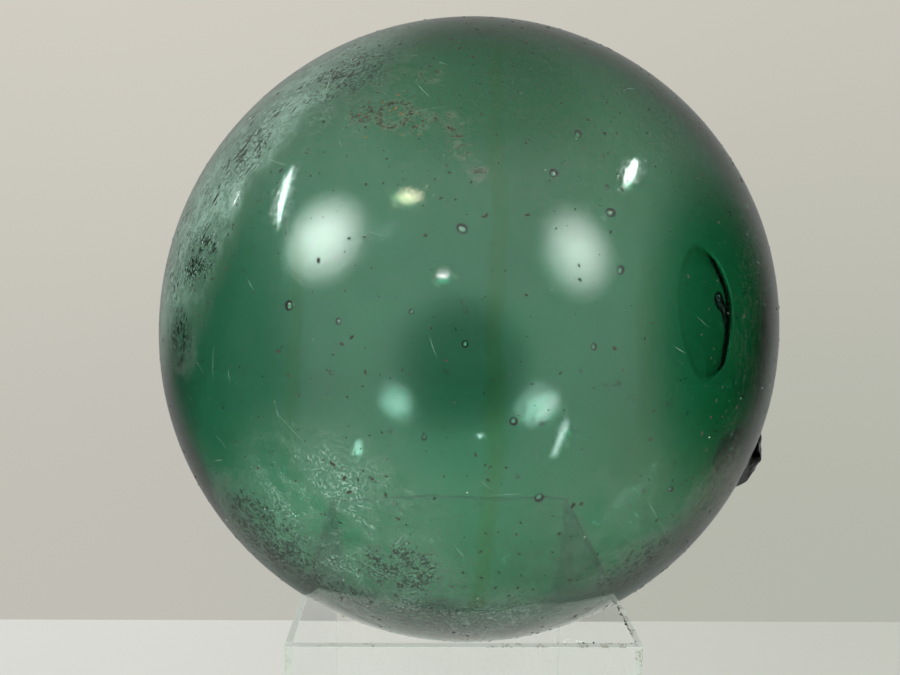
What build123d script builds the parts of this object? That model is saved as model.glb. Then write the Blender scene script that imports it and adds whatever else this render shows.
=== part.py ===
"""Hand-blown hollow glass ball resting in the open top of a clear acrylic cube.

The ball is a closed bubble of sea-green glass. Its blowpipe hole is plugged by a gob
of dark glass, and an oval pad of glass is fused to the inside of its wall. The cube
is five flat acrylic panels, bonded edge to face, with the open side up: the ball dips
into it and rests on the inner top edges of its four walls.

Origin: centre of the cube's underside. +Z up, -Y the side that faces the viewer.
Millimetres.
"""

from build123d import *
from math import cos, radians, sin, sqrt
import os

# ---------------------------------------------------------------- driving dimensions

# Acrylic cube
cube_side = 152.4  # a 6 inch display cube, outside
panel_thickness = 3.0
edge_break = 0.4  # the sawn edges are scraped, not left sharp

# Glass ball
ball_diameter = 287.0  # across the equator of the seal axis
pole_flattening = 0.013  # it is this much shorter along the seal axis
glass_wall = 3.5
hollow_drift = 0.7  # the wall is this much thicker at the seal, and thinner opposite
seat_gap = 0.3  # kept between the ball and the edges it rests on

# Seal button, over the blowpipe hole
seal_azimuth = -20.0  # degrees, from +X towards +Y
seal_elevation = -20.0  # degrees above the horizontal
pipe_hole = 22.0  # diameter that the blowpipe left
button_diameter = 38.0
button_height = 7.0
button_bite = 2.0  # the dome is cut this far under the glass surface before seating it
plug_depth = 10.0  # the soft glass filled the hole and sagged this far inwards

# Oval pad of glass fused to the inside of the wall
pad_azimuth = -58.0
pad_elevation = 10.0
pad_width = 29.0
pad_length = 47.0
pad_face_radius = 135.6  # its inner face, from the ball's centre: 3.2 proud of the wall
pad_edge_radius = 2.2
pad_tilt = 5.0  # degrees that its long axis leans

# Where the ball settles: towards its flatter, sealed side
settle_x = 1.0
settle_y = -0.4
settle_z = -0.25

# ---------------------------------------------------------------- worked-out values

ball_radius = ball_diameter / 2
flattening = (1, 1, 1 - pole_flattening)
inside_half = cube_side / 2 - panel_thickness
seat_rise = sqrt(ball_radius**2 - inside_half**2)
ball_centre = Vector(settle_x, settle_y, cube_side + seat_rise + seat_gap + settle_z)


def direction(azimuth, elevation):
    """Unit vector from the ball's centre, given by two angles in degrees."""
    level = cos(radians(elevation))
    return Vector(
        level * cos(radians(azimuth)),
        level * sin(radians(azimuth)),
        sin(radians(elevation)),
    )


def facing(outward):
    """Plane at the ball's centre whose local z points outward and local x is level."""
    level = Vector(0, 0, 1).cross(outward).normalized()
    return Plane(origin=ball_centre, x_dir=level, z_dir=outward)


seal_frame = facing(direction(seal_azimuth, seal_elevation))
pad_frame = facing(direction(pad_azimuth, pad_elevation))


def set_in_place(upright):
    """Turn a piece made upright about the Z axis so that it lies on the seal axis."""
    with BuildPart() as placed:
        with Locations(seal_frame.location):
            add(upright.part)
    return placed


os.makedirs("parts", exist_ok=True)

# ---------------------------------------------------------------- the acrylic cube

# Front and back panels run the full width; the side panels stand between them, and the
# base panel is dropped inside all four, flush with their lower edges.
wall_middle = cube_side / 2 - panel_thickness / 2
mid_height = cube_side / 2
between = cube_side - 2 * panel_thickness

with BuildPart() as front_panel:
    with Locations((0, -wall_middle, mid_height)):
        Box(cube_side, panel_thickness, cube_side)
    chamfer(front_panel.edges(), edge_break)
front_panel.part.label = "front_panel"
export_step(front_panel.part, "parts/front_panel.step")

with BuildPart() as back_panel:
    with Locations((0, wall_middle, mid_height)):
        Box(cube_side, panel_thickness, cube_side)
    chamfer(back_panel.edges(), edge_break)
back_panel.part.label = "back_panel"
export_step(back_panel.part, "parts/back_panel.step")

with BuildPart() as left_panel:
    with Locations((-wall_middle, 0, mid_height)):
        Box(panel_thickness, between, cube_side)
    chamfer(left_panel.edges().filter_by(Axis.Y), edge_break)
left_panel.part.label = "left_panel"
export_step(left_panel.part, "parts/left_panel.step")

with BuildPart() as right_panel:
    with Locations((wall_middle, 0, mid_height)):
        Box(panel_thickness, between, cube_side)
    chamfer(right_panel.edges().filter_by(Axis.Y), edge_break)
right_panel.part.label = "right_panel"
export_step(right_panel.part, "parts/right_panel.step")

with BuildPart() as base_panel:
    with Locations((0, 0, panel_thickness / 2)):
        Box(between, between, panel_thickness)
base_panel.part.label = "base_panel"
export_step(base_panel.part, "parts/base_panel.step")

# ---------------------------------------------------------------- the glass ball

# Its pieces are made upright, as true spheres with the seal at the top, then squashed
# along the seal axis and turned to where the ball lies.

# The hollow of the bubble as one solid, a little off centre.
with BuildPart() as upright_hollow:
    with Locations((0, 0, -hollow_drift)):
        Sphere(ball_radius - glass_wall)
    scale(by=flattening)
hollow_form = set_in_place(upright_hollow)

# The bubble itself, with the hole that the blowpipe left.
with BuildPart() as upright_shell:
    Sphere(ball_radius)
    with Locations((0, 0, -hollow_drift)):
        Sphere(ball_radius - glass_wall, mode=Mode.SUBTRACT)
    with Locations((0, 0, ball_radius)):
        Cylinder(pipe_hole / 2, 6 * glass_wall, mode=Mode.SUBTRACT)
    scale(by=flattening)
glass_shell = set_in_place(upright_shell)
glass_shell.part.label = "glass_shell"
export_step(glass_shell.part, "parts/glass_shell.step")

# The gob that seals it: a low dome spread over the hole, with a plug that filled the
# hole and sagged a little into the hollow.
button_radius = button_diameter / 2
button_rim_z = sqrt(ball_radius**2 - button_radius**2) - button_bite
plug_radius = pipe_hole / 2
crown = (0, ball_radius + button_height)
rim = (button_radius, button_rim_z)
plug_end = (plug_radius, ball_radius - glass_wall - hollow_drift)
tip = (0, ball_radius - plug_depth)

with BuildPart() as upright_button:
    with BuildSketch(Plane.XZ):
        with BuildLine():
            Spline([crown, rim], tangents=[(1, 0), (0.25, -1)])
            Line(rim, (plug_radius, button_rim_z))
            Line((plug_radius, button_rim_z), (0, button_rim_z))
            Line((0, button_rim_z), crown)
        make_face()
    revolve(axis=Axis.Z)
    Sphere(ball_radius, mode=Mode.SUBTRACT)
    with BuildSketch(Plane.XZ):
        with BuildLine():
            Line(crown, (plug_radius, ball_radius))
            Line((plug_radius, ball_radius), plug_end)
            Spline([plug_end, tip], tangents=[(-0.6, -1), (-1, 0)])
            Line(tip, crown)
        make_face()
    revolve(axis=Axis.Z)
    scale(by=flattening)
seal_button = set_in_place(upright_button)
seal_button.part.label = "seal_button"
export_step(seal_button.part, "parts/seal_button.step")

# The oval pad: a round-shouldered patch that stands inwards from the wall.
with BuildPart() as patch_pad:
    with BuildSketch(pad_frame.offset(pad_face_radius - 4 * glass_wall)):
        Ellipse(pad_width / 2, pad_length / 2, rotation=pad_tilt)
    extrude(amount=6 * glass_wall)
    with Locations(ball_centre):
        Sphere(pad_face_radius, mode=Mode.SUBTRACT)
    inner_face = patch_pad.faces().filter_by(GeomType.SPHERE)[0]
    fillet(inner_face.edges(), pad_edge_radius)
    add(hollow_form.part, mode=Mode.INTERSECT)
patch_pad.part.label = "patch_pad"
export_step(patch_pad.part, "parts/patch_pad.step")
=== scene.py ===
"""Hollow hand-blown glass ball in the open top of a clear acrylic cube: its looks.

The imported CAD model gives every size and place. The ball's pieces are built in a frame
of their own, with its origin at the ball's centre, and ride on the body "ball". The
cube's pieces are built in place and ride on the body "stand". Metres throughout.
"""

import math
import random

import bmesh
import bpy
from mathutils import Matrix, Vector, noise


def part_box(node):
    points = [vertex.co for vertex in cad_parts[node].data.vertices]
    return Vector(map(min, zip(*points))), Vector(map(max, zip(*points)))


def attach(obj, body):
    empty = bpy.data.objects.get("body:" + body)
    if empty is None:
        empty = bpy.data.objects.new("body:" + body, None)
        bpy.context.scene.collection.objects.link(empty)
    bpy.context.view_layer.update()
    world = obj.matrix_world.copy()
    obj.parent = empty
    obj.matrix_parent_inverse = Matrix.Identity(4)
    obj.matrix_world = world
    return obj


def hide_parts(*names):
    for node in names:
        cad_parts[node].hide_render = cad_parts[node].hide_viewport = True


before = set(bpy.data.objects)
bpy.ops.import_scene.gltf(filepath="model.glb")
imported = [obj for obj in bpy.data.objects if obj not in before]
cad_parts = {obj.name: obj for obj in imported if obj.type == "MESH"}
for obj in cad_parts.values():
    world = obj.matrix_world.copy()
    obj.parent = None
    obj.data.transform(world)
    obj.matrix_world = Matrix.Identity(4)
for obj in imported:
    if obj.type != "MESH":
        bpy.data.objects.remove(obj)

MM = 0.001
UP = Vector((0, 0, 1))

# ------------------------ what the frame says

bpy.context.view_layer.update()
shell_low, shell_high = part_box("glass_shell")
BALL = (Vector(shell_low) + Vector(shell_high)) / 2
RADIUS = max(Vector(shell_high) - Vector(shell_low)) / 2

FLATTENING = 0.013  # the ball is this much shorter along its seal axis
WALL = 3.5 * MM
DRIFT = 0.7 * MM  # the hollow sits this far off centre, away from the seal
HOLE = 11 * MM  # radius of the blowpipe hole
HOLE_PLAY = 0.05 * MM


def unit(x, y, z):
    return Vector((x, y, z)).normalized()


def outward(node):
    """Unit vector from the ball's centre to the middle of a node that sits on it."""
    points = [v.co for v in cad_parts[node].data.vertices]
    middle = sum(points, Vector()) / len(points)
    return (middle - BALL).normalized()


def frame_about(direction):
    """Columns: level and upright vectors square to a direction, then the direction."""
    level = UP.cross(direction).normalized()
    return Matrix((level, direction.cross(level), direction)).transposed()


SEAL = outward("seal_button")
SEAL_FRAME = frame_about(SEAL)
PAD = outward("patch_pad")
PAD_FRAME = frame_about(PAD)


def squashed(direction, radius):
    """The point at a radius in a direction, on a ball flattened along the seal axis."""
    along = direction.dot(SEAL)
    return radius * (direction - FLATTENING * along * SEAL)


# ------------------------ camera

# Where the camera stands, seen from the ball, and how it is turned from there.
CAMERA_DISTANCE = 2.367 * RADIUS
CAMERA_AZIMUTH = math.radians(-3.69)
CAMERA_ELEVATION = math.radians(8.60)
CAMERA_YAW = math.radians(2.30)
CAMERA_PITCH = math.radians(9.21)
CAMERA_ROLL = math.radians(1.50)
LENS_MM = 26.92


def bearing(azimuth, elevation):
    """Unit vector at an azimuth from -Y towards +X, and an elevation."""
    level = math.cos(elevation)
    return Vector((level * math.sin(azimuth), -level * math.cos(azimuth), math.sin(elevation)))


def make_camera():
    data = bpy.data.cameras.new("camera")
    data.lens = LENS_MM
    data.sensor_width = 36.0
    data.clip_start = 0.01
    data.clip_end = 100.0
    camera = bpy.data.objects.new("camera", data)
    look = -bearing(-CAMERA_YAW, CAMERA_PITCH)
    level = look.cross(UP).normalized()
    upright = level.cross(look)
    right = level * math.cos(CAMERA_ROLL) + upright * math.sin(CAMERA_ROLL)
    top = right.cross(look)
    place = BALL + CAMERA_DISTANCE * bearing(CAMERA_AZIMUTH, CAMERA_ELEVATION)
    turn = Matrix((right, top, -look)).transposed().to_4x4()
    camera.matrix_world = Matrix.Translation(place) @ turn
    bpy.context.scene.collection.objects.link(camera)
    bpy.context.scene.camera = camera


make_camera()

# ------------------------ shader arithmetic


class Field:
    """A socket of a shader tree. Arithmetic on fields adds the nodes that do it."""

    def __init__(self, tree, socket):
        self.tree = tree
        self.socket = socket

    def math(self, operation, *others, clamp=False):
        node = self.tree.nodes.new("ShaderNodeMath")
        node.operation = operation
        node.use_clamp = clamp
        plug(self.tree, node.inputs[0], self)
        for into, value in zip(node.inputs[1:], others):
            plug(self.tree, into, value)
        return Field(self.tree, node.outputs[0])

    def __add__(self, other):
        return self.math("ADD", other)

    def __sub__(self, other):
        return self.math("SUBTRACT", other)

    def __mul__(self, other):
        return self.math("MULTIPLY", other)

    def inverse(self):
        return (self * -1.0).math("ADD", 1.0, clamp=True)

    def size(self):
        return self.math("ABSOLUTE")

    def most(self, other):
        return self.math("MAXIMUM", other)

    def held(self):
        """Kept between 0 and 1."""
        return self.math("ADD", 0.0, clamp=True)

    def step(self, low, high):
        """0 below low, 1 above high and smooth between; high may be under low."""
        node = self.tree.nodes.new("ShaderNodeMapRange")
        node.interpolation_type = "SMOOTHSTEP"
        plug(self.tree, node.inputs["Value"], self)
        flip = high < low
        node.inputs["From Min"].default_value = min(low, high)
        node.inputs["From Max"].default_value = max(low, high)
        node.inputs["To Min"].default_value = 1.0 if flip else 0.0
        node.inputs["To Max"].default_value = 0.0 if flip else 1.0
        return Field(self.tree, node.outputs["Result"])


def plug(tree, into, value):
    """Link a field into a socket, or set the socket to a plain value."""
    if isinstance(value, Field):
        tree.links.new(value.socket, into)
    elif isinstance(value, (tuple, list)) and len(into.default_value) == 4:
        into.default_value = (*value[:3], 1.0)
    else:
        into.default_value = value


class Shader:
    """A material, or the world, with an empty node tree and short ways to fill it."""

    def __init__(self, owner):
        self.owner = owner
        owner.use_nodes = True
        self.tree = owner.node_tree
        self.tree.nodes.clear()

    def node(self, kind, settings=None, **inputs):
        made = self.tree.nodes.new(kind)
        for name, value in (settings or {}).items():
            setattr(made, name, value)
        for name, value in inputs.items():
            plug(self.tree, made.inputs[name.replace("_", " ")], value)
        return made

    def field(self, made, output=0):
        return Field(self.tree, made.outputs[output])

    def place(self, output="Object"):
        return self.field(self.node("ShaderNodeTexCoord"), output)

    def vector(self, operation, a, b=None, scale=None):
        made = self.node("ShaderNodeVectorMath", {"operation": operation})
        plug(self.tree, made.inputs[0], a)
        if b is not None:
            plug(self.tree, made.inputs[1], b)
        if scale is not None:
            plug(self.tree, made.inputs["Scale"], scale)
        gives_number = operation in ("DOT_PRODUCT", "DISTANCE", "LENGTH")
        return self.field(made, "Value" if gives_number else "Vector")

    def along(self, place, direction):
        return self.vector("DOT_PRODUCT", place, tuple(direction))

    def noise(self, place, scale, detail=2.0, roughness=0.5, twist=0.0):
        made = self.node("ShaderNodeTexNoise", Vector=place, Scale=scale, Detail=detail,
                         Roughness=roughness, Distortion=twist)
        return self.field(made, "Fac")

    def streaks(self, place, way, scale, thinness):
        """Fine noise drawn out along one direction: thinness 0.1 draws it out tenfold."""
        way = Vector(way).normalized()
        back = self.vector("SCALE", tuple(way), scale=self.along(place, way) * (thinness - 1.0))
        return self.noise(self.vector("ADD", place, back), scale, 2.0, 0.6)

    def cells(self, place, scale):
        """Distance to the nearest of many scattered points."""
        return self.field(self.node("ShaderNodeTexVoronoi", Vector=place, Scale=scale), "Distance")

    def blend(self, factor, low, high):
        """Colour or value: low where factor is 0 and high where it is 1."""
        made = self.node("ShaderNodeMix", {"data_type": "RGBA"})
        plug(self.tree, made.inputs["Factor"], factor)
        plug(self.tree, made.inputs[6], low)
        plug(self.tree, made.inputs[7], high)
        return self.field(made, 2)

    def bump(self, height, strength, distance):
        made = self.node("ShaderNodeBump", Height=height, Strength=strength, Distance=distance)
        return self.field(made, "Normal")

    def surface(self, made):
        out = self.tree.nodes.get("Material Output") or self.node("ShaderNodeOutputMaterial")
        self.tree.links.new(made.outputs[0], out.inputs["Surface"])
        return out

    def absorb(self, out, colour, density):
        made = self.node("ShaderNodeVolumeAbsorption", Color=colour, Density=density)
        self.tree.links.new(made.outputs[0], out.inputs["Volume"])


def material(name):
    return Shader(bpy.data.materials.new(name))


# ------------------------ materials

# Sea-green glass: the tint that its thickness gives to light. The seal's is denser.
GLASS_TINT = (0.10, 0.63, 0.475)
GLASS_DENSITY = 590.0
SEAL_DENSITY = GLASS_DENSITY * 4.0
GLASS_IOR = 1.5

ACRYLIC_TINT = (0.86, 0.93, 0.88)
ACRYLIC_DENSITY = 9.0
ACRYLIC_IOR = 1.49

MINT = (0.54, 0.82, 0.69)  # dry, rubbed glass
# The next colour is a thin haze under the ball, coloured with a painted green glow that stands in for the
# light from inside the ball.
HAZE_PAINTED_GREEN_GLOW = (0.03, 0.26, 0.160)  # thin haze with green light in it, under the ball
SUNK = (0.42, 0.80, 0.62)  # tint of the ball's underside
SOOT = (0.016, 0.042, 0.026)  # old greasy grime
UMBER = (0.085, 0.088, 0.030)  # brown deposit
RUST = (0.34, 0.20, 0.06)  # orange specks in the deposit
OLIVE = (0.80, 0.84, 0.46)  # tint of the runs down the wall
CLEAR = (1.0, 1.0, 1.0)

# Marks on the wall: a centre on the unit ball, inner reach, outer reach and strength.
DEPOSIT = unit(-0.225, -0.765, 0.605)  # middle of the brown ring
HAZE_MARKS = (
    ((-0.36, -0.88, -0.32), 0.10, 0.34, 1.0),
    ((-0.46, -0.74, -0.50), 0.10, 0.34, 0.8),
    ((-0.22, -0.82, -0.54), 0.10, 0.30, 0.9),
    ((0.25, -0.93, -0.30), 0.05, 0.28, 0.3),
    ((0.36, -0.82, -0.45), 0.08, 0.26, 0.5),
    ((-0.40, -0.60, 0.69), 0.10, 0.36, 0.6),
    ((0.05, -0.75, -0.66), 0.10, 0.30, 0.7),
)
GRIME_MARKS = (
    ((-0.71, -0.65, 0.27), 0.03, 0.13, 0.9),
    ((-0.76, -0.64, 0.06), 0.03, 0.12, 0.8),
    ((-0.60, -0.60, 0.53), 0.04, 0.16, 0.6),
    ((-0.34, -0.60, 0.72), 0.05, 0.22, 0.6),
    ((-0.53, -0.72, -0.44), 0.08, 0.26, 0.9),
    ((-0.38, -0.68, -0.62), 0.08, 0.24, 0.9),
    ((-0.19, -0.88, -0.43), 0.04, 0.15, 0.8),
    ((-0.10, -0.72, -0.68), 0.08, 0.26, 0.8),
    ((0.41, -0.78, -0.48), 0.05, 0.20, 0.7),
    ((0.60, -0.72, -0.32), 0.05, 0.20, 0.5),
    ((0.20, -0.60, -0.76), 0.10, 0.32, 0.7),
)
DEPOSIT_MARKS = (
    ((-0.30, -0.73, 0.61), 0.02, 0.060, 0.9),
    ((-0.18, -0.79, 0.58), 0.01, 0.055, 0.8),
    ((-0.12, -0.80, 0.59), 0.01, 0.050, 0.7),
    ((-0.085, -0.825, 0.56), 0.01, 0.040, 0.8),
    ((-0.07, -0.85, 0.52), 0.01, 0.032, 0.8),
    ((-0.04, -0.88, 0.48), 0.01, 0.040, 0.6),
    ((-0.15, -0.69, 0.70), 0.01, 0.050, 0.6),
    ((-0.40, -0.58, 0.71), 0.02, 0.090, 0.5),
)
OLIVE_MARKS = (
    ((0.35, -0.93, -0.09), 0.05, 0.18, 0.5),
    ((0.48, -0.86, -0.19), 0.05, 0.22, 0.6),
    ((0.62, -0.72, -0.31), 0.08, 0.24, 0.7),
    ((0.41, -0.80, -0.44), 0.05, 0.25, 0.4),
)


def near(shader, spot, centre, inner, outer):
    """1 within inner of a centre on the unit ball, fading to 0 at outer."""
    gap = shader.vector("DISTANCE", spot, tuple(unit(*centre)))
    return gap.step(outer, inner)


def lobes(shader, spot, marks):
    """Several soft round marks together: centre, inner reach, outer reach, strength."""
    total = None
    for centre, inner, outer, strength in marks:
        mark = near(shader, spot, centre, inner, outer) * strength
        total = mark if total is None else total.most(mark)
    return total


def run_stain(shader, spot, wander, across, low, high, width):
    """A stain that ran down the front wall at a place across it, between two heights."""
    offset = shader.along(spot, (1, 0, 0)) - across + wander
    height = shader.along(spot, UP)
    ends = height.step(low - 0.06, low + 0.06) * height.step(high + 0.06, high - 0.06)
    front = shader.along(spot, (0, -1, 0)).step(0.0, 0.2)
    return offset.size().step(width, width * 0.25) * ends * front


def sea_glass():
    """The ball's wall: clear green glass, rubbed, stained and grimy on the outside."""
    s = material("sea_glass")
    place = s.place()
    spot = s.vector("SCALE", place, scale=1.0 / RADIUS)
    outside = s.vector("LENGTH", place).step(RADIUS - 2.6 * MM, RADIUS - 2.2 * MM)

    cloud = s.noise(spot, 6.0, 5.0, 0.62, 0.4)
    mottle = s.noise(spot, 24.0, 5.0, 0.68, 0.5)
    grain = s.noise(spot, 85.0, 3.0, 0.7)
    dots = s.noise(spot, 170.0, 3.0, 0.75).step(0.50, 0.60)
    slant = s.streaks(spot, (0.55, 0.05, 0.84), 95.0, 0.22) * 0.5
    slant = slant + s.streaks(spot, (0.48, 0.10, 0.87), 210.0, 0.12) * 0.5
    cross = s.streaks(spot, (0.72, -0.25, -0.62), 150.0, 0.06)
    steep = s.streaks(spot, (0.10, 0.05, 1.0), 190.0, 0.05)
    rubs = (cross.step(0.54, 0.66) + steep.step(0.55, 0.68) + slant.step(0.53, 0.63) * 0.6).held()

    # A rope once lay round the ball: the glass it chafed is dry and pale, up the left side.
    belt = s.along(spot, unit(-0.05, -0.97, 0.21)) + (cloud - 0.5) * 0.12
    belt = belt.step(0.84, 0.76) * belt.step(0.10, 0.35)
    belt = belt * s.along(spot, unit(-0.80, -0.10, 0.60)).step(0.64, 0.84)
    belt_pale = belt * (mottle.step(0.30, 0.62) * 0.45 + dots * 0.20 + 0.35)
    belt_dark = belt * slant.step(0.50, 0.58) * cloud.step(0.46, 0.60) * mottle.step(0.40, 0.56)

    # Haze low on the ball, thicker to the left, and finely scratched.
    haze = lobes(s, spot, HAZE_MARKS) * (cloud.step(0.36, 0.60) * 0.6 + mottle.step(0.40, 0.62) * 0.4)

    # Grime: smears up the left side and in mottled patches round the underside.
    grime = lobes(s, spot, GRIME_MARKS)
    flecks = s.noise(spot, 120.0, 4.0, 0.8).step(0.45, 0.56)
    grime = grime * mottle.step(0.32, 0.55) * (slant.step(0.46, 0.56) * 0.4 + flecks * 0.6)

    # A brown deposit near the top: a ring, a cluster on its left and a ragged tail.
    crust = mottle * 0.5 + grain * 0.5
    gap = s.vector("DISTANCE", spot, tuple(DEPOSIT))
    ring = gap.step(0.052, 0.042) * gap.step(0.020, 0.034)
    tail = lobes(s, spot, DEPOSIT_MARKS)
    umber = (ring * 0.8).most(tail * crust.step(0.46, 0.56)) * crust.step(0.40, 0.56) * (dots * 0.3 + 0.7)
    orange = gap.step(0.040, 0.010) * grain.step(0.56, 0.64)

    # Olive runs down the front, and an olive cast low on the right.
    wander = (s.noise(spot, 3.0, 2.0) - 0.5) * 0.07
    runs = run_stain(s, spot, wander, 0.0, -0.85, 0.80, 0.030)
    runs = runs.most(run_stain(s, spot, wander, -0.43, -0.25, 0.30, 0.024) * 0.6)
    runs = runs.most(run_stain(s, spot, wander, 0.34, -0.20, 0.28, 0.034) * 0.7)
    cast = lobes(s, spot, OLIVE_MARKS)
    film = s.along(spot, unit(0.05, -0.60, 0.80)).step(0.80, 0.97)
    film = film.most(s.along(spot, unit(0.93, -0.36, 0.0)).step(0.80, 0.90))
    olive = runs.most(cast * cloud.step(0.3, 0.6)).most(film * (steep * 0.9)) * (grain * 0.5 + 0.7)

    # Low in front the glass is greener, and a thin haze there has a painted green glow in its colour,
    # standing in for the light from inside the ball.
    before = s.along(spot, (0, -1, 0)).step(0.25, 0.50)
    sunk = s.along(spot, UP).step(-0.54, -0.68) * before
    # The mask of the low haze that carries the painted green glow.
    under = s.along(spot, UP).step(-0.47, -0.62) * before * (flecks * 0.3 + 0.7)

    # How much of the glass each kind of dirt, and the haze with its painted glow, hides, then all of them
    # laid over each other.
    pale_cover = (belt_pale * 0.56).most(haze * (dots * 0.40 + rubs * 0.15 + 0.09))
    dark_cover = (belt_dark * 0.50).most(grime * 0.60).most(film * steep.step(0.50, 0.64) * dots * 0.30)
    umber_cover = umber * 0.48
    orange_cover = orange * 0.50
    haze_painted_glow_cover = under * 0.26
    # Here dirt also takes in the low haze with its painted green glow.
    dirt = pale_cover.most(haze_painted_glow_cover).most(dark_cover).most(umber_cover).most(orange_cover) * outside

    colour = s.blend((olive * outside).held(), CLEAR, OLIVE)
    colour = s.blend(sunk * outside, colour, SUNK)
    # Painted light: the low haze takes the painted green glow colour.
    colour = s.blend(haze_painted_glow_cover.step(0.0, 0.20) * outside, colour, HAZE_PAINTED_GREEN_GLOW)
    colour = s.blend((pale_cover - haze_painted_glow_cover * 0.6).step(0.0, 0.10) * outside, colour, MINT)
    colour = s.blend(umber_cover.step(0.05, 0.30) * outside, colour, UMBER)
    colour = s.blend(dark_cover.step(0.04, 0.30) * outside, colour, SOOT)
    colour = s.blend(orange_cover.step(0.05, 0.35) * outside, colour, RUST)

    # A slow swell in the surface, fine scratches, and a dry bloom over what was rubbed.
    swell = s.noise(spot, 4.0, 2.0)
    fine = s.noise(spot, 15.0, 3.0)
    height = swell + fine * 0.10 + (rubs * 0.09 + grain * 0.04) * outside
    coat = (rubs * 0.24 + belt * 0.2).held() * outside
    glass = s.node("ShaderNodeBsdfPrincipled", Base_Color=colour, IOR=GLASS_IOR,
                   Transmission_Weight=dirt.inverse(), Roughness=0.0,
                   Coat_Weight=coat, Coat_Roughness=0.24,
                   Normal=s.bump(height, 0.10, 0.6 * MM))
    out = s.surface(glass)
    s.absorb(out, GLASS_TINT, GLASS_DENSITY)
    return s.owner


def thick_glass(name, density, gloss):
    """The pad or the seal: the same glass, with cords drawn through it."""
    s = material(name)
    place = s.place()
    spot = s.vector("SCALE", place, scale=1.0 / RADIUS)
    cords = s.noise(spot, 9.0, 4.0, 0.6, 2.2)
    colour = s.blend(cords.step(0.35, 0.7), (0.82, 0.96, 0.90), (0.98, 1.0, 0.99))
    glass = s.node("ShaderNodeBsdfPrincipled", Base_Color=colour, IOR=GLASS_IOR,
                   Transmission_Weight=1.0, Roughness=0.02, Specular_IOR_Level=gloss,
                   Normal=s.bump(cords, 0.12, 0.8 * MM))
    out = s.surface(glass)
    s.absorb(out, GLASS_TINT, density)
    return s.owner


def dirt_specks(name, dark, light):
    """Crumbs of dirt, no two quite the same colour."""
    s = material(name)
    mottle = s.noise(s.place(), 420.0, 4.0, 0.7)
    colour = s.blend(mottle.step(0.3, 0.7), dark, light)
    s.surface(s.node("ShaderNodeBsdfPrincipled", Base_Color=colour, Roughness=mottle * 0.4 + 0.5,
                     Normal=s.bump(mottle, 0.5, 0.1 * MM)))
    return s.owner


def inclusion():
    """Burnt, nearly black glass trapped in the wall behind the pad."""
    s = material("burnt_glass")
    place = s.vector("SCALE", s.place(), scale=1.0 / RADIUS)
    mottle = s.noise(place, 60.0, 4.0, 0.6)
    colour = s.blend(mottle.step(0.3, 0.7), (0.004, 0.012, 0.010), (0.015, 0.040, 0.030))
    s.surface(s.node("ShaderNodeBsdfPrincipled", Base_Color=colour, Roughness=mottle * 0.3 + 0.1,
                     Normal=s.bump(mottle, 0.3, 0.2 * MM)))
    return s.owner


def acrylic_face():
    """Polished sheet: clear, with a little handling haze and dust."""
    s = material("clear_acrylic")
    place = s.place()
    haze = s.noise(place, 22.0, 4.0, 0.6)
    wipes = s.streaks(place, (0.6, 0.6, 0.5), 700.0, 0.05)
    dust = s.cells(place, 420.0).step(0.16, 0.06)
    cover = (haze.step(0.35, 0.8) * 0.02 + wipes.step(0.60, 0.75) * 0.02 + dust * 0.20).held()
    colour = s.blend(haze, (0.985, 1.0, 0.99), CLEAR)
    sheet = s.node("ShaderNodeBsdfPrincipled", Base_Color=colour, IOR=ACRYLIC_IOR,
                   Transmission_Weight=cover.inverse(), Roughness=0.02,
                   Normal=s.bump(haze, 0.05, 0.4 * MM))
    out = s.surface(sheet)
    s.absorb(out, ACRYLIC_TINT, ACRYLIC_DENSITY)
    return s.owner


def acrylic_edge():
    """Sawn and scraped edge: frosted, grey-green, with saw lines and dirt in them."""
    s = material("acrylic_edge")
    place = s.place()
    saw = s.streaks(place, (0.0, 0.0, 1.0), 1100.0, 0.12)
    mottle = s.noise(place, 160.0, 4.0, 0.65)
    corner = s.along(place, (1, -1, 0)).step(0.02, 0.15) * 0.12
    dirt = ((mottle + corner).step(0.56, 0.70) * s.noise(place, 900.0, 2.0).step(0.40, 0.6)).held()
    colour = s.blend(mottle, (0.66, 0.72, 0.65), (0.82, 0.86, 0.80))
    colour = s.blend(dirt * 0.7, colour, (0.26, 0.26, 0.18))
    sheet = s.node("ShaderNodeBsdfPrincipled", Base_Color=colour, IOR=ACRYLIC_IOR,
                   Transmission_Weight=0.15, Roughness=saw * 0.3 + 0.30,
                   Normal=s.bump(saw + mottle, 0.35, 0.15 * MM))
    out = s.surface(sheet)
    s.absorb(out, ACRYLIC_TINT, ACRYLIC_DENSITY)
    return s.owner


def weld_bubbles():
    """Flattened air pockets in the solvent weld: they show as pale flecks."""
    s = material("weld_bubbles")
    mottle = s.noise(s.place(), 700.0, 3.0, 0.6)
    colour = s.blend(mottle, (0.58, 0.60, 0.53), (0.90, 0.91, 0.86))
    s.surface(s.node("ShaderNodeBsdfPrincipled", Base_Color=colour, Roughness=mottle * 0.4 + 0.2,
                     Normal=s.bump(mottle, 0.4, 0.1 * MM)))
    return s.owner


# ------------------------ mesh helpers


SHARP = math.radians(60)  # edges that turn more than this aren't shaded as round


def link(name, mesh, materials, smooth=True):
    piece = bpy.data.objects.new(name, mesh)
    bpy.context.scene.collection.objects.link(piece)
    for entry in materials:
        mesh.materials.append(entry)
    for face in mesh.polygons:
        face.use_smooth = smooth
    if smooth:
        mesh.set_sharp_from_angle(angle=SHARP)
    return piece


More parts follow.
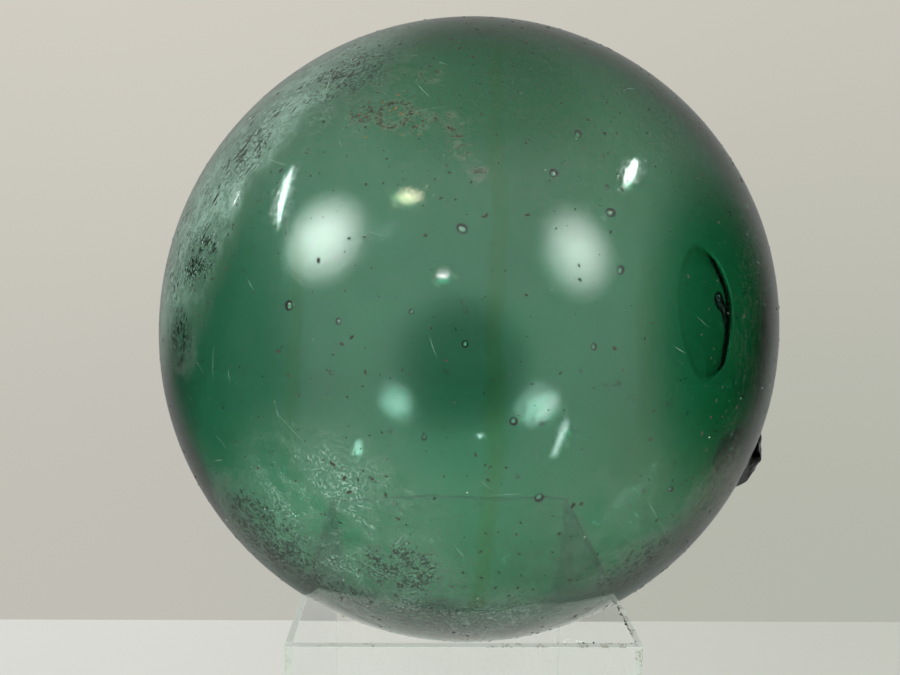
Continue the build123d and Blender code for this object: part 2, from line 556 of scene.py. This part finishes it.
def ring_mesh(rings, first=None, last=None):
    """Vertices and faces for rings of equal count, closed at poles where given."""
    verts = [point for ring in rings for point in ring]
    count = len(rings[0])
    faces = []
    for i in range(len(rings) - 1):
        for j in range(count):
            k = (j + 1) % count
            faces.append((i * count + j, (i + 1) * count + j, (i + 1) * count + k, i * count + k))
    if first is not None:
        verts.append(first)
        top = len(verts) - 1
        faces += [(top, j, (j + 1) % count) for j in range(count)]
    if last is not None:
        verts.append(last)
        tip = len(verts) - 1
        base = (len(rings) - 1) * count
        faces += [(base + (j + 1) % count, base + j, tip) for j in range(count)]
    return verts, faces


def round_template(level):
    """Vertices and faces of a unit icosphere."""
    bm = bmesh.new()
    bmesh.ops.create_icosphere(bm, subdivisions=level, radius=1.0)
    bm.verts.ensure_lookup_table()
    verts = [vert.co.copy() for vert in bm.verts]
    faces = [tuple(vert.index for vert in face.verts) for face in bm.faces]
    bm.free()
    return verts, faces


ROUND = {level: round_template(level) for level in (1, 2, 3)}


class Blobs:
    """Many small ellipsoids in one mesh. Their axes are the columns of a 3x3 matrix."""

    def __init__(self, verts=None, faces=None):
        self.verts = verts or []
        self.faces = faces or []

    def add(self, centre, axes, level=1, hollow=False):
        base = len(self.verts)
        verts, faces = ROUND[level]
        self.verts += [centre + axes @ vert for vert in verts]
        for face in faces:
            ordered = reversed(face) if hollow else face
            self.faces.append(tuple(base + i for i in ordered))

    def mesh(self, name):
        made = bpy.data.meshes.new(name)
        made.from_pydata(self.verts, [], self.faces)
        return made


def any_way(chance):
    """A random unit vector, as likely one way as another."""
    return unit(chance.gauss(0, 1), chance.gauss(0, 1), chance.gauss(0, 1))


def random_turn(chance):
    axis = any_way(chance)
    return Matrix.Rotation(chance.uniform(0, math.tau), 3, axis)


def closed_mesh(name, verts, faces):
    """A mesh of one closed body, with every face turned outward."""
    mesh = bpy.data.meshes.new(name)
    mesh.from_pydata(verts, [], faces)
    bm = bmesh.new()
    bm.from_mesh(mesh)
    bmesh.ops.recalc_face_normals(bm, faces=bm.faces)
    bm.to_mesh(mesh)
    bm.free()
    return mesh


# ------------------------ the ball's wall

SEGMENTS = 240
OUTER_RINGS = 116
INNER_RINGS = 90
SEEDS = 430
LARGEST_SEED = 1.5  # radius, mm
CLEAR_OF_SEAL = 0.985  # seeds and crumbs keep to where the seal axis has a lower cosine
SCRATCHES_CLEAR_OF_SEAL = 0.97


def ripple(direction, scale, size):
    return size * noise.noise(direction * scale)


def outer_point(direction):
    """The outside of the wall: nearly true, with the slow ripple of blown glass."""
    wave = ripple(direction, 3.1, 0.10 * MM) + ripple(direction, 9.0, 0.03 * MM)
    return squashed(direction, RADIUS + wave - 0.06 * MM)


def inner_point(direction):
    """The inside of the wall, off centre and more uneven than the outside."""
    wave = ripple(direction + Vector((5, 1, 2)), 2.2, 0.45 * MM)
    wave += ripple(direction + Vector((2, 7, 3)), 6.5, 0.12 * MM)
    return squashed(direction, RADIUS - WALL + wave) - DRIFT * SEAL


def seal_direction(polar, turn):
    """Unit vector at a polar angle from the seal axis."""
    local = Vector((math.sin(polar) * math.cos(turn), math.sin(polar) * math.sin(turn), math.cos(polar)))
    return SEAL_FRAME @ local


def polar_rings(point_at, count, radius):
    """Rings from the edge of the blowpipe hole towards the far pole."""
    start = math.asin(HOLE / radius)
    rings = []
    for i in range(count):
        polar = start + (math.pi - start) * i / count
        turns = (math.tau * j / SEGMENTS for j in range(SEGMENTS))
        rings.append([point_at(seal_direction(polar, turn)) for turn in turns])
    return rings


def scattered(chance, count, spread, clear_of_seal=CLEAR_OF_SEAL):
    """Unit vectors to places on the ball. spread says how likely each place is."""
    made = 0
    while made < count:
        way = any_way(chance)
        if chance.random() > spread(way) or way.dot(SEAL) > clear_of_seal:
            continue
        made += 1
        yield way


def seed_spread(way):
    return 0.30 + 0.70 * max(0.0, way.dot(unit(0.75, -0.60, -0.25)))


def add_seeds(blobs, chance):
    """Air seeds in the wall: small closed cavities, more of them towards the right."""
    for way in scattered(chance, SEEDS, seed_spread):
        size = min(LARGEST_SEED, 0.30 * math.exp(abs(chance.gauss(0, 0.80)))) * MM
        outer = outer_point(way).length
        inner = inner_point(way).length
        half = (outer - inner) / 2
        thick = min(size * 0.9, half - 0.3 * MM)
        depth = (outer + inner) / 2 + chance.uniform(-1, 1) * max(0.0, half - thick - 0.2 * MM)
        turn = frame_about(way) @ Matrix.Rotation(chance.uniform(0, math.tau), 3, "Z")
        shape = Matrix.Diagonal((size * chance.uniform(1.0, 1.3), size, thick))
        blobs.add(way * depth, turn @ shape, 3 if size > 0.6 * MM else 2, hollow=True)


def make_specks(name, count, finish, seed, typical, largest, spread):
    """Crumbs stuck to the outside, typical and largest in mm."""
    chance = random.Random(seed)
    blobs = Blobs()
    for way in scattered(chance, count, spread):
        size = min(largest, typical * math.exp(chance.gauss(0, 0.55))) * MM
        turn = frame_about(way) @ Matrix.Rotation(chance.uniform(0, math.tau), 3, "Z")
        shape = Matrix.Diagonal((size * chance.uniform(1.0, 2.4), size, size * 0.35))
        blobs.add(outer_point(way), turn @ shape)
    piece = link(name, blobs.mesh(name), [finish])
    piece.location = BALL
    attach(piece, "ball")


SCRATCH_STEPS = 9
SCRATCH_PROUD = 1.00015  # share of the ball's radius at which they lie


def make_scratches(name, count, finish, seed, spread):
    """Long hair scratches, drawn as very thin slivers that follow the wall."""
    chance = random.Random(seed)
    verts = []
    faces = []
    for way in scattered(chance, count, spread, SCRATCHES_CLEAR_OF_SEAL):
        local = frame_about(way)
        heading = chance.gauss(-0.8, 0.5) if chance.random() < 0.6 else chance.uniform(0, math.pi)
        long = chance.uniform(2.0, 7.0) * math.exp(abs(chance.gauss(0, 0.7)))
        long = min(long, 32.0) * MM
        wide = chance.uniform(0.03, 0.07) * MM
        bend = chance.gauss(0, 0.05)
        for i in range(SCRATCH_STEPS):
            share = i / (SCRATCH_STEPS - 1) * 2 - 1
            angle = heading + bend * share
            run = Vector((math.cos(angle), math.sin(angle))) * long / 2 * share
            side = Vector((-math.sin(angle), math.cos(angle))) * wide * (1.05 - abs(share))
            for sign in (-1, 1):
                x, y = run + side * sign
                over = (local @ Vector((x, y, RADIUS))).normalized()
                verts.append(outer_point(over) * SCRATCH_PROUD)
            if i:
                last = len(verts) - 4
                faces.append((last, last + 1, last + 3, last + 2))
    mesh = bpy.data.meshes.new(name)
    mesh.from_pydata(verts, [], faces)
    piece = link(name, mesh, [finish])
    piece.location = BALL
    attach(piece, "ball")


def dirt_spread(way):
    """Crumbs are everywhere, and thicker low on the front and up the left side."""
    low = max(0.0, -way.z)
    return min(1.0, 0.35 + 0.45 * low + 0.35 * max(0.0, -way.x) * max(0.0, -way.y))


def rust_spread(way):
    gap = (way - DEPOSIT).length
    left = (way - unit(-0.30, -0.73, 0.61)).length
    return math.exp(-((gap / 0.05) ** 2)) + math.exp(-((left / 0.04) ** 2))


def scratch_spread(way):
    low_left = max(0.0, way.dot(unit(-0.42, -0.78, -0.46)))
    high_left = max(0.0, way.dot(unit(-0.60, -0.62, 0.50)))
    return 0.05 + 0.6 * low_left**8 + 0.5 * high_left**8


def make_wall():
    outside = polar_rings(outer_point, OUTER_RINGS, RADIUS)
    inside = polar_rings(inner_point, INNER_RINGS, RADIUS - WALL)
    skin, skin_faces = ring_mesh(outside, last=outer_point(-SEAL))
    lining, lining_faces = ring_mesh(inside, last=inner_point(-SEAL))
    base = len(skin)
    faces = skin_faces + [tuple(base + i for i in reversed(face)) for face in lining_faces]
    for j in range(SEGMENTS):
        k = (j + 1) % SEGMENTS
        faces.append((k, j, base + j, base + k))
    blobs = Blobs(skin + lining, faces)
    add_seeds(blobs, random.Random(11))
    piece = link("glass_wall", blobs.mesh("glass_wall"), [sea_glass()])
    piece.location = BALL
    piece.visible_diffuse = False  # soft light reaches the board and rim from all round
    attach(piece, "ball")
    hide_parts("glass_shell")


# ------------------------ the oval pad

PAD_WIDE = 14.5 * MM
PAD_TALL = 23.5 * MM
PAD_TILT = math.radians(5)
PAD_SHEET = 0.45 * MM  # how far the pad stands off the wall
PAD_LIP = 0.95 * MM  # and how much more it does along the thick lip on its right
SEATED = 0.04 * MM  # fused pieces reach this far into the wall
PAD_SEGMENTS = 112
PAD_STEPS = 30
UNDERSIDE_SHARES = (0.999, 0.8, 0.6, 0.35, 0.12)
DROP_LINKS = 22
DROP_DEPTH = 1.7 * MM  # from the inside of the wall to the middle of the burnt drop


def on_wall(turn_frame, x, y, lift):
    """The point over the outside of the wall at an offset from the middle of a frame."""
    depth = math.sqrt(max(RADIUS**2 - x * x - y * y, 0.0))
    way = (turn_frame @ Vector((x, y, depth))).normalized()
    return squashed(way, RADIUS + lift)


def in_hollow(turn_frame, x, y, lift):
    """The point a height off the inside of the wall, towards the middle of the ball."""
    depth = math.sqrt(max(RADIUS**2 - x * x - y * y, 0.0))
    way = (turn_frame @ Vector((x, y, depth))).normalized()
    return inner_point(way) - way * lift


def pad_height(share, turn):
    """Height of the pad: a sheet that thickens to the right, with a lip along that side."""
    side = math.cos(turn + 0.08)
    edge = 0.92 + 0.05 * side
    fall = min(max((share - edge) / (1 - edge), 0.0), 1.0)
    shoulder = 1 - fall * fall * (3 - 2 * fall)
    sheet = PAD_SHEET * (0.60 + 0.40 * share * side)
    start = 0.61 + 0.05 * math.sin(2 * turn + 0.5) + 0.03 * math.sin(5 * turn)
    climb = min(max((share - start) / (0.985 - start), 0.0), 1.0)
    lip = PAD_LIP * max(0.0, side + 0.15) ** 0.7 * climb**1.6
    return shoulder * (sheet + lip)


def oval_ring(turned, share, height):
    """A ring of points round the pad at a share of its width."""
    ring = []
    for j in range(PAD_SEGMENTS):
        turn = math.tau * j / PAD_SEGMENTS
        wobble = 1 + 0.015 * math.sin(2 * turn + 1) + 0.01 * math.sin(5 * turn)
        x = PAD_WIDE * share * wobble * math.cos(turn)
        y = PAD_TALL * share * wobble * math.sin(turn)
        ring.append(in_hollow(turned, x, y, height(share, turn)))
    return ring


def pad_underside(_share, _turn):
    """Height of the face by which the pad is fused to the wall."""
    return -SEATED


def make_pad(glass):
    turned = PAD_FRAME @ Matrix.Rotation(PAD_TILT, 3, "Z")
    shares = [math.sin(math.pi / 2 * i / PAD_STEPS) for i in range(1, PAD_STEPS + 1)]
    rings = [oval_ring(turned, share, pad_height) for share in shares]
    rings += [oval_ring(turned, share, pad_underside) for share in UNDERSIDE_SHARES]
    crown = in_hollow(turned, 0, 0, pad_height(0, 0))
    verts, faces = ring_mesh(rings, crown, in_hollow(turned, 0, 0, -SEATED))
    piece = link("oval_pad", closed_mesh("oval_pad", verts, faces), [glass])
    piece.location = BALL
    piece.visible_diffuse = False
    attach(piece, "ball")
    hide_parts("patch_pad")


def make_drop(burnt):
    """A burnt drop with a curled tail, trapped in the wall behind the pad."""
    turned = PAD_FRAME @ Matrix.Rotation(PAD_TILT, 3, "Z")
    blobs = Blobs()
    for i in range(DROP_LINKS):
        share = i / (DROP_LINKS - 1)
        x = (5.0 + 2.6 * share + 0.7 * math.sin(5.0 * share)) * MM
        y = (3.6 - 8.8 * share) * MM
        size = (2.1 * (1 - share) ** 1.2 + 0.3) * MM
        place = in_hollow(turned, x, y, -DROP_DEPTH)
        blobs.add(place, turned @ Matrix.Diagonal((size, size * 1.3, min(size, 1.2 * MM))), 2)
    drop = link("pad_drop", blobs.mesh("pad_drop"), [burnt])
    drop.location = BALL
    remesh = drop.modifiers.new("fuse", "REMESH")
    remesh.mode = "VOXEL"
    remesh.voxel_size = 0.16 * MM
    apply_modifiers(drop)
    for face in drop.data.polygons:
        face.use_smooth = True
    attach(drop, "ball")


def apply_modifiers(piece):
    """Replace the piece's mesh with what its modifiers make of it."""
    graph = bpy.context.evaluated_depsgraph_get()
    made = bpy.data.meshes.new_from_object(piece.evaluated_get(graph))
    piece.modifiers.clear()
    piece.data = made


# ------------------------ the seal button

BUTTON = 16.6 * MM
BUTTON_PROUD = 7.6 * MM
PLUG_DEPTH = 10 * MM
BUTTON_SEGMENTS = 128
BUTTON_STEPS = 44
PLUG_STEPS = 4  # rings down the side of the plug
SAG_STEPS = 12  # and round its sagging end


def button_height(share, turn):
    """Height of the gob above the wall: lumpy, with a fold curled round its crown."""
    dome = max(1 - share**2.0, 0.0) ** 0.72
    here = Vector((share * math.cos(turn), share * math.sin(turn), 0.0))
    lumps = 0.26 * noise.noise(here * 2.2 + Vector((3, 1, 4)))
    lumps += 0.06 * noise.noise(here * 6.5 + Vector((1, 8, 2)))
    fold = 0.10 * math.sin(2 * turn - 7.0 * share) * share * (1 - share) * 3
    return BUTTON_PROUD * dome * (0.86 + lumps + fold)


def seal_circle(radius, lift):
    """A ring of points about the seal axis."""
    points = []
    for j in range(BUTTON_SEGMENTS):
        turn = math.tau * j / BUTTON_SEGMENTS
        points.append(on_wall(SEAL_FRAME, radius * math.cos(turn), radius * math.sin(turn), lift))
    return points


def make_button(glass):
    rings = []
    for i in range(1, BUTTON_STEPS + 1):
        share = math.sin(math.pi / 2 * i / BUTTON_STEPS)
        ring = []
        for j in range(BUTTON_SEGMENTS):
            turn = math.tau * j / BUTTON_SEGMENTS
            wobble = 0.95 + 0.05 * math.sin(2 * turn + 0.4) + 0.03 * math.sin(5 * turn) * share
            x = BUTTON * share * wobble * math.cos(turn)
            y = BUTTON * share * wobble * math.sin(turn)
            lift = min(button_height(share, turn), BUTTON_PROUD)
            ring.append(on_wall(SEAL_FRAME, x, y, lift - SEATED))
        rings.append(ring)
    plug = HOLE - HOLE_PLAY
    for radius, lift in ((BUTTON * 0.75, -SEATED), (plug, -SEATED)):
        rings.append(seal_circle(radius, lift))
    for i in range(1, PLUG_STEPS + 1):
        rings.append(seal_circle(plug, -SEATED - (WALL + DRIFT) * i / PLUG_STEPS))
    for i in range(1, SAG_STEPS):
        angle = math.pi / 2 * i / SAG_STEPS
        sag = (PLUG_DEPTH - WALL - DRIFT) * math.sin(angle)
        rings.append(seal_circle(plug * math.cos(angle), -SEATED - WALL - DRIFT - sag))
    crown = on_wall(SEAL_FRAME, 0, 0, button_height(0, 0) - SEATED)
    verts, faces = ring_mesh(rings, crown, on_wall(SEAL_FRAME, 0, 0, -PLUG_DEPTH))
    piece = link("seal_gob", closed_mesh("seal_gob", verts, faces), [glass])
    piece.location = BALL
    piece.visible_diffuse = False
    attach(piece, "ball")
    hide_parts("seal_button")


# ------------------------ the cube

PANELS = ("front_panel", "back_panel", "left_panel", "right_panel", "base_panel")
EDGE_ROUND = 0.3 * MM
EDGE_CUTS = 70  # how finely a sawn edge is divided, so that it can wander
EDGE_WANDER = 0.05 * MM


def make_panel(node, face_material, edge_material):
    """One sheet: polished faces, and sawn edges that wander a little."""
    low, high = (Vector(corner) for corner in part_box(node))
    size = high - low
    thin = min(range(3), key=lambda axis: size[axis])
    bm = bmesh.new()
    bmesh.ops.create_cube(bm, size=1.0)
    bmesh.ops.scale(bm, vec=size, verts=bm.verts)
    bmesh.ops.translate(bm, vec=(low + high) / 2, verts=bm.verts)
    bmesh.ops.bevel(bm, geom=bm.edges[:], offset=EDGE_ROUND, segments=3, profile=0.5,
                    affect="EDGES", clamp_overlap=True)
    for face in bm.faces:
        flat = abs(face.normal[thin]) > 0.999
        face.material_index = 0 if flat else 1
    long_edges = [edge for edge in bm.edges if edge.calc_length() > 20 * MM]
    bmesh.ops.subdivide_edges(bm, edges=long_edges, cuts=EDGE_CUTS, use_grid_fill=False)
    chance = random.Random(node)
    shift = Vector((chance.uniform(0, 9), chance.uniform(0, 9), chance.uniform(0, 9)))
    wide = [axis for axis in range(3) if axis != thin]
    for vert in bm.verts:
        wander = noise.noise_vector(vert.co * 260 + shift) * EDGE_WANDER
        wander[thin] = 0.0
        inset = min(min(vert.co[axis] - low[axis], high[axis] - vert.co[axis]) for axis in wide)
        if inset < MM:
            vert.co += wander
    for vert in bm.verts:
        for axis in range(3):
            vert.co[axis] = min(max(vert.co[axis], low[axis]), high[axis])
    bmesh.ops.triangulate(bm, faces=[face for face in bm.faces if len(face.verts) > 4])
    mesh = bpy.data.meshes.new(node.replace("panel", "sheet"))
    bm.to_mesh(mesh)
    bm.free()
    piece = link(node.replace("panel", "sheet"), mesh, [face_material, edge_material], smooth=False)
    piece.visible_diffuse = False
    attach(piece, "stand")
    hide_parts(node)


UPRIGHT_FLECKS = 95  # in each of the four upright joints
FLOOR_FLECKS = 45  # in each joint between a side panel and the base
RIM_CRUMBS = 100


def make_welds(flecks):
    """Air flecks in the four upright joints of the cube and in two of its floor's."""
    chance = random.Random(5)
    left_low, left_high = (Vector(corner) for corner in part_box("left_panel"))
    right_low, right_high = (Vector(corner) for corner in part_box("right_panel"))
    floor_low, floor_high = (Vector(corner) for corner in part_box("base_panel"))
    blobs = Blobs()
    for low, high in ((left_low, left_high), (right_low, right_high)):
        for y in (low.y, high.y):
            for _ in range(UPRIGHT_FLECKS):
                place = Vector((chance.uniform(low.x + 0.5 * MM, high.x - 0.4 * MM), y,
                                chance.uniform(low.z + 2 * MM, high.z - 2 * MM)))
                wide = chance.uniform(0.10, 0.36) * MM
                tall = wide * chance.uniform(1.0, 3.2)
                blobs.add(place, Matrix.Diagonal((wide, 0.05 * MM, tall)))
    for x in (floor_low.x, floor_high.x):
        for _ in range(FLOOR_FLECKS):
            place = Vector((x, chance.uniform(floor_low.y, floor_high.y),
                            chance.uniform(floor_low.z + 0.5 * MM, floor_high.z - 0.5 * MM)))
            wide = chance.uniform(0.12, 0.4) * MM
            blobs.add(place, Matrix.Diagonal((0.05 * MM, wide * 2, wide)))
    piece = link("weld_flecks", blobs.mesh("weld_flecks"), [flecks])
    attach(piece, "stand")


def make_crumbs(dirt):
    """Dirt along the rim, most of it on the right side and its front corner."""
    chance = random.Random(8)
    front_high = Vector(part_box("front_panel")[1])
    right_low, right_high = (Vector(corner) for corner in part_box("right_panel"))
    top = right_high.z
    blobs = Blobs()
    for _ in range(RIM_CRUMBS):
        if chance.random() < 0.85:
            place = Vector((right_low.x + chance.uniform(0.0, 0.6) * MM,
                            right_low.y + abs(chance.gauss(0, 45)) * MM, top))
        else:
            place = Vector((chance.uniform(0.2, 1.0) * front_high.x,
                            front_high.y - chance.uniform(0.0, 0.5) * MM, top))
        if not right_low.x - front_high.x < place.x < right_high.x or place.y > right_high.y:
            continue
        size = min(0.55, 0.13 * math.exp(abs(chance.gauss(0, 0.6)))) * MM
        shape = random_turn(chance) @ Matrix.Diagonal((size * 1.5, size, size * 0.6))
        blobs.add(place, shape)
    piece = link("rim_crumbs", blobs.mesh("rim_crumbs"), [dirt])
    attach(piece, "stand")


# ------------------------ studio

SOFT_LIGHT = 1.05  # strength of the light that falls on everything from all round
LAMP_DISTANCE = 1.6
WHITE = (1.0, 1.0, 0.99)
COOL = (0.92, 1.0, 1.0)
WARM = (1.0, 0.92, 0.62)
DEEP = (1.0, 0.17, 0.30)  # makes up for the light that the near wall takes out

# Steps over the count of times that a ray has bounced, or has passed through a surface.
AFTER_ONE = (0.4, 0.6)
AFTER_THREE = (2.4, 2.6)  # through the near wall and into the far one

# Dark flags round the room: right, left, behind the left, where a camera would stand,
# under that, and overhead. Each has the way to its middle, the cosines where its shade
# starts and is full, and its strength.
FLAGS = (
    ((0.99, 0.05, 0.02), 0.74, 0.965, 0.99),
    ((-0.98, 0.10, -0.12), 0.70, 0.95, 0.75),
    ((-0.94, 0.34, -0.06), 0.88, 0.985, 0.60),
    ((-0.06, -0.99, -0.04), 0.883, 0.9945, 0.80),
    ((-0.03, -0.93, -0.36), 0.92, 0.99, 0.35),
    ((0.0, 0.10, 0.99), 0.79, 0.978, 0.40),
)


def make_world():
    """A plain pale backdrop, soft light, and a dim room that shines only in gloss.

    The room is bright before the ball and dark behind it, with flags to either side and
    overhead, and a darker patch where a camera would stand.
    """
    s = Shader(bpy.data.worlds.new("studio"))
    bpy.context.scene.world = s.owner
    way = s.place("Generated")
    height = s.along(way, UP)
    across = s.along(way, (1, 0, 0))

    rise = height.step(-0.45, 0.45)
    side = across.step(-0.5, 0.6)
    low = s.blend(side, (0.535, 0.522, 0.465), (0.452, 0.466, 0.402))
    high = s.blend(side, (0.645, 0.618, 0.548), (0.590, 0.566, 0.498))
    backdrop = s.blend(rise, low, high)

    facing = s.along(way, bearing(CAMERA_AZIMUTH, CAMERA_ELEVATION))
    room = facing.step(-0.57, 0.77) * 1.32 + facing.step(-0.86, -0.97) * 0.34 + 0.26
    room = room * (height * 0.15 + 1.0)
    for centre, outer, inner, share in FLAGS:
        shade = s.along(way, unit(*centre)).step(outer, inner) * share
        room = room * shade.inverse()

    # Through the ball the backdrop is brighter low down and to the right, dim straight behind.
    path = s.node("ShaderNodeLightPath")
    through = s.field(path, "Transmission Depth").step(*AFTER_THREE)
    behind = s.along(way, unit(0.046, 0.979, -0.199)).step(0.990, 0.9985)
    gain = height.step(-0.22, -0.50) * 1.2 + across.step(0.15, 0.31) * 0.40 + 1.08
    gain = gain * (behind * -0.30 + 1.0)
    backdrop = s.vector("SCALE", backdrop, scale=through * (gain - 1.0) + 1.0)

    shining = s.field(path, "Glossy Depth").step(*AFTER_ONE)
    lighting = s.field(path, "Diffuse Depth").step(*AFTER_ONE)
    sky = (height.held() * -1.35 + 1.75) * SOFT_LIGHT
    colour = s.blend(shining, backdrop, s.vector("SCALE", (0.97, 1.0, 0.95), scale=room))
    colour = s.blend(lighting, colour, s.vector("SCALE", (1.0, 1.0, 0.98), scale=sky))
    out = s.node("ShaderNodeOutputWorld")
    light = s.node("ShaderNodeBackground", Color=colour, Strength=1.0)
    s.tree.links.new(light.outputs[0], out.inputs["Surface"])


def lamp_material(name, colour, strength, soft, deep):
    """A glow that is added to what is behind it, and fades to its edges where soft.

    A deep lamp shows only in the far wall of the ball, seen through the near one, and
    the others only in the near wall. It doesn't show in the cube, which is further off.
    """
    s = material(name)
    spread = s.vector("SUBTRACT", s.place("UV"), (0.5, 0.5, 0.0))
    reach = s.vector("LENGTH", spread)
    glow = reach.step(0.5, 0.5 - soft * 0.5) if soft else reach.step(2.0, 1.0)
    path = s.node("ShaderNodeLightPath")
    shining = s.field(path, "Glossy Depth").step(*AFTER_ONE)
    through = s.field(path, "Transmission Depth").step(*AFTER_THREE)
    nearby = s.field(path, "Ray Length").step(LAMP_DISTANCE - 0.03, LAMP_DISTANCE - 0.07)
    shown = shining * (through * nearby if deep else through.inverse())
    shine = s.node("ShaderNodeEmission", Color=colour, Strength=glow * shown * strength)
    clear = s.node("ShaderNodeBsdfTransparent")
    both = s.node("ShaderNodeAddShader")
    s.tree.links.new(shine.outputs[0], both.inputs[0])
    s.tree.links.new(clear.outputs[0], both.inputs[1])
    s.surface(both)
    return s.owner


def make_lamp(name, azimuth, elevation, size, turn, colour, strength, soft, deep=False):
    """A card of light that shows only in the gloss of the glass, facing the ball.

    azimuth, elevation and turn are in degrees, and soft is the share that fades out.
    """
    way = bearing(math.radians(azimuth), math.radians(elevation))
    mesh = bpy.data.meshes.new(name)
    wide, tall = size[0] / 2, size[1] / 2
    corners = ((-wide, -tall, 0), (wide, -tall, 0), (wide, tall, 0), (-wide, tall, 0))
    mesh.from_pydata(corners, [], [(0, 1, 2, 3)])
    layer = mesh.uv_layers.new(name="UVMap")
    for loop, spot in zip(layer.data, ((0, 0), (1, 0), (1, 1), (0, 1))):
        loop.uv = spot
    card = link(name, mesh, [lamp_material(name, colour, strength, soft, deep)], smooth=False)
    facing = frame_about(way) @ Matrix.Rotation(math.radians(turn), 3, "Z")
    card.matrix_world = Matrix.Translation(BALL + way * LAMP_DISTANCE) @ facing.to_4x4()
    card.visible_camera = False
    card.visible_diffuse = False
    card.visible_shadow = False


def make_lamps():
    """The lights that the ball mirrors, then those that only its far wall mirrors."""
    make_lamp("softbox_left", -57.3, 30.4, (0.95, 0.92), 0, WHITE, 14.0, 0.95)
    make_lamp("softbox_right", 35.9, 30.4, (0.80, 0.96), 0, WHITE, 10.5, 0.95)
    make_lamp("tube_left", -84.0, 35.3, (0.080, 0.60), 40, COOL, 34.0, 0.7)
    make_lamp("tube_right", 75.4, 45.3, (0.080, 0.44), -75, COOL, 38.0, 0.7)
    make_lamp("lamp_warm", -30.3, 48.0, (0.30, 0.20), 0, WARM, 20.0, 0.9)
    make_lamp("lamp_small", -11.7, 25.0, (0.10, 0.04), 0, WHITE, 20.0, 0)
    make_lamp("lamp_far_left", -106.6, 26.4, (0.035, 0.14), 30, WHITE, 12.0, 0.6)
    make_lamp("deep_left", -55.4, 40.6, (0.80, 0.80), 0, DEEP, 440.0, 0.95, True)
    make_lamp("deep_right", 43.5, 41.2, (0.66, 0.76), 0, DEEP, 260.0, 0.95, True)
    make_lamp("deep_tube_left", -86.9, 46.8, (0.100, 0.55), 40, DEEP, 1000.0, 0.7, True)
    make_lamp("deep_tube_right", 89.3, 50.2, (0.110, 0.25), -75, DEEP, 700.0, 0.7, True)
    make_lamp("deep_warm", -25.1, 64.5, (0.20, 0.10), 0, DEEP, 900.0, 0.8, True)


def floor_material(name, light, dark):
    """Plain matt board, very slightly uneven, and painted shade makes it a little darker towards the
    right.
    """
    s = material(name)
    place = s.place()
    mottle = s.noise(place, 9.0, 4.0, 0.6)
    fibre = s.noise(place, 300.0, 2.0, 0.6)
    # Painted shade: the board is darker towards the right, where less light falls.
    side = s.along(place, (1, 0, 0)).step(-0.35, 0.45)
    colour = s.blend(side, light, dark)
    shade = mottle * 0.03 + fibre * 0.02 + 0.975
    colour = s.vector("SCALE", colour, scale=shade)
    s.surface(s.node("ShaderNodeBsdfPrincipled", Base_Color=colour, Roughness=fibre * 0.2 + 0.75,
                     Specular_IOR_Level=0.1, Normal=s.bump(fibre, 0.08, 0.2 * MM)))
    return s.owner


BOARD_WIDTH = 3.0
BOARD_REACH = 1.6  # how far it comes forward
BOARD_THICKNESS = 6 * MM


def make_floor():
    """A pale board whose far edge is a hand behind the ball; beyond it, the backdrop."""
    far_edge = BALL.y + 1.31 * RADIUS
    size = (BOARD_WIDTH, BOARD_REACH + far_edge, BOARD_THICKNESS)
    middle = (0.0, (far_edge - BOARD_REACH) / 2, -BOARD_THICKNESS / 2)
    bm = bmesh.new()
    made = bmesh.ops.create_cube(bm, size=1.0)
    bmesh.ops.scale(bm, vec=size, verts=made["verts"])
    bmesh.ops.translate(bm, vec=middle, verts=made["verts"])
    bmesh.ops.bevel(bm, geom=bm.edges[:], offset=1.0 * MM, segments=2, affect="EDGES")
    mesh = bpy.data.meshes.new("studio_board")
    bm.to_mesh(mesh)
    bm.free()
    # The second colour is the board's painted shade on the right.
    card = floor_material("board", (0.84, 0.845, 0.81), (0.66, 0.68, 0.62))
    board = link("studio_board", mesh, [card], smooth=False)
    board.visible_glossy = False


def set_picture():
    """Plain tones, and enough bounces for light to pass through every wall."""
    scene = bpy.context.scene
    scene.view_settings.view_transform = "Standard"
    scene.cycles.max_bounces = 20
    scene.cycles.transmission_bounces = 20
    scene.cycles.glossy_bounces = 8
    scene.cycles.diffuse_bounces = 3
    scene.cycles.sample_clamp_indirect = 30.0
    scene.cycles.use_denoising = True


# ------------------------ putting it together

make_world()
make_lamps()
make_floor()
set_picture()

make_wall()
make_pad(thick_glass("pad_glass", GLASS_DENSITY, 0.5))
make_drop(inclusion())
make_button(thick_glass("seal_glass", SEAL_DENSITY, 0.15))
grit = dirt_specks("grit", (0.012, 0.016, 0.012), (0.07, 0.075, 0.05))
dust = dirt_specks("dust", (0.55, 0.62, 0.56), (0.85, 0.88, 0.84))
rust = dirt_specks("rust", (0.10, 0.05, 0.02), (0.36, 0.20, 0.07))
chafe = dirt_specks("chafe", (0.20, 0.36, 0.28), (0.45, 0.62, 0.52))
make_specks("wall_grit", 3600, grit, 21, 0.24, 0.62, dirt_spread)
make_specks("wall_dust", 220, dust, 22, 0.11, 0.25, dirt_spread)
make_specks("rust_crumbs", 80, rust, 23, 0.14, 0.4, rust_spread)
make_scratches("wall_scratches", 110, chafe, 24, scratch_spread)
faces_acrylic = acrylic_face()
edges_acrylic = acrylic_edge()
for panel in PANELS:
    make_panel(panel, faces_acrylic, edges_acrylic)
make_welds(weld_bubbles())
make_crumbs(grit)
